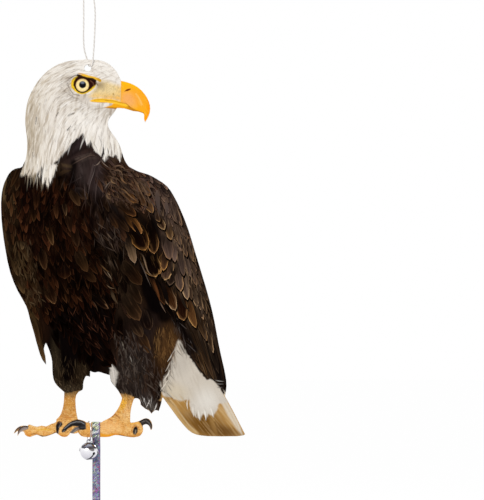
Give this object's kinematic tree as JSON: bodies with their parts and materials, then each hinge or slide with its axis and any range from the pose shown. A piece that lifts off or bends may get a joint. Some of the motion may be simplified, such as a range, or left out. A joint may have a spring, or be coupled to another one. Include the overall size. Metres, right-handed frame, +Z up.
{
  "type": "hanging bird scarer board",
  "caption": "Flat board cut to a perched eagle's outline, hung from a string loop, with a foil ribbon and a jingle bell on a wire ring at its toes.",
  "frame": {"origin": "the middle of the knot of the hanging string, where the part is held up", "axes": "+Z up, +X to the right of the picture, towards the side the beak points to; the front print faces -Y"},
  "size_m": [0.2148, 0.0208, 0.5894],
  "materials": {
    "string": "fine pale twisted cord",
    "board_core": "white cut edge",
    "printed_film": "satin printed film",
    "ribbon_foil": "glittering foil",
    "steel_wire": "bright drawn wire",
    "bell_plating": "polished plating",
    "pellet_steel": "dull steel ball"
  },
  "bodies": {
    "hanger": {"string_knot": "string"},
    "board": {"hanging_string": "string", "board_core": "board_core", "front_print": "printed_film", "back_print": "printed_film", "ribbon_loop": "ribbon_foil"},
    "ribbon": {"ribbon_tail": "ribbon_foil"},
    "ring": {"bell_ring": "steel_wire"},
    "bell": {"bell_eye": "steel_wire", "bell_upper_shell": "bell_plating", "bell_lower_shell": "bell_plating"},
    "pellet": {"bell_pellet": "pellet_steel"}
  },
  "joints": [
    {"name": "string_twist", "type": "hinge", "parent": "hanger", "child": "board", "pos_m": [0, 0, 0], "axis": [0, 0, 1], "range_deg": [-180, 180]},
    {"name": "ribbon_flutter", "type": "hinge", "parent": "board", "child": "ribbon", "pos_m": [0.00665, 0.0019, -0.40125], "axis": [1, 0, 0], "range_deg": [0, 60]},
    {"name": "ring_swing", "type": "hinge", "parent": "board", "child": "ring", "pos_m": [0.00042, 0.0015, -0.38761], "axis": [1, 0, 0], "range_deg": [-22, 0]},
    {"name": "bell_swing", "type": "hinge", "parent": "ring", "child": "bell", "pos_m": [0.00042, 0, -0.4039], "axis": [0, 1, 0], "range_deg": [-35, 35]},
    {"name": "pellet_rattle", "type": "slide", "parent": "bell", "child": "pellet", "axis": [0, 0, 1], "range_m": [0, 0.0097]}
  ]
}
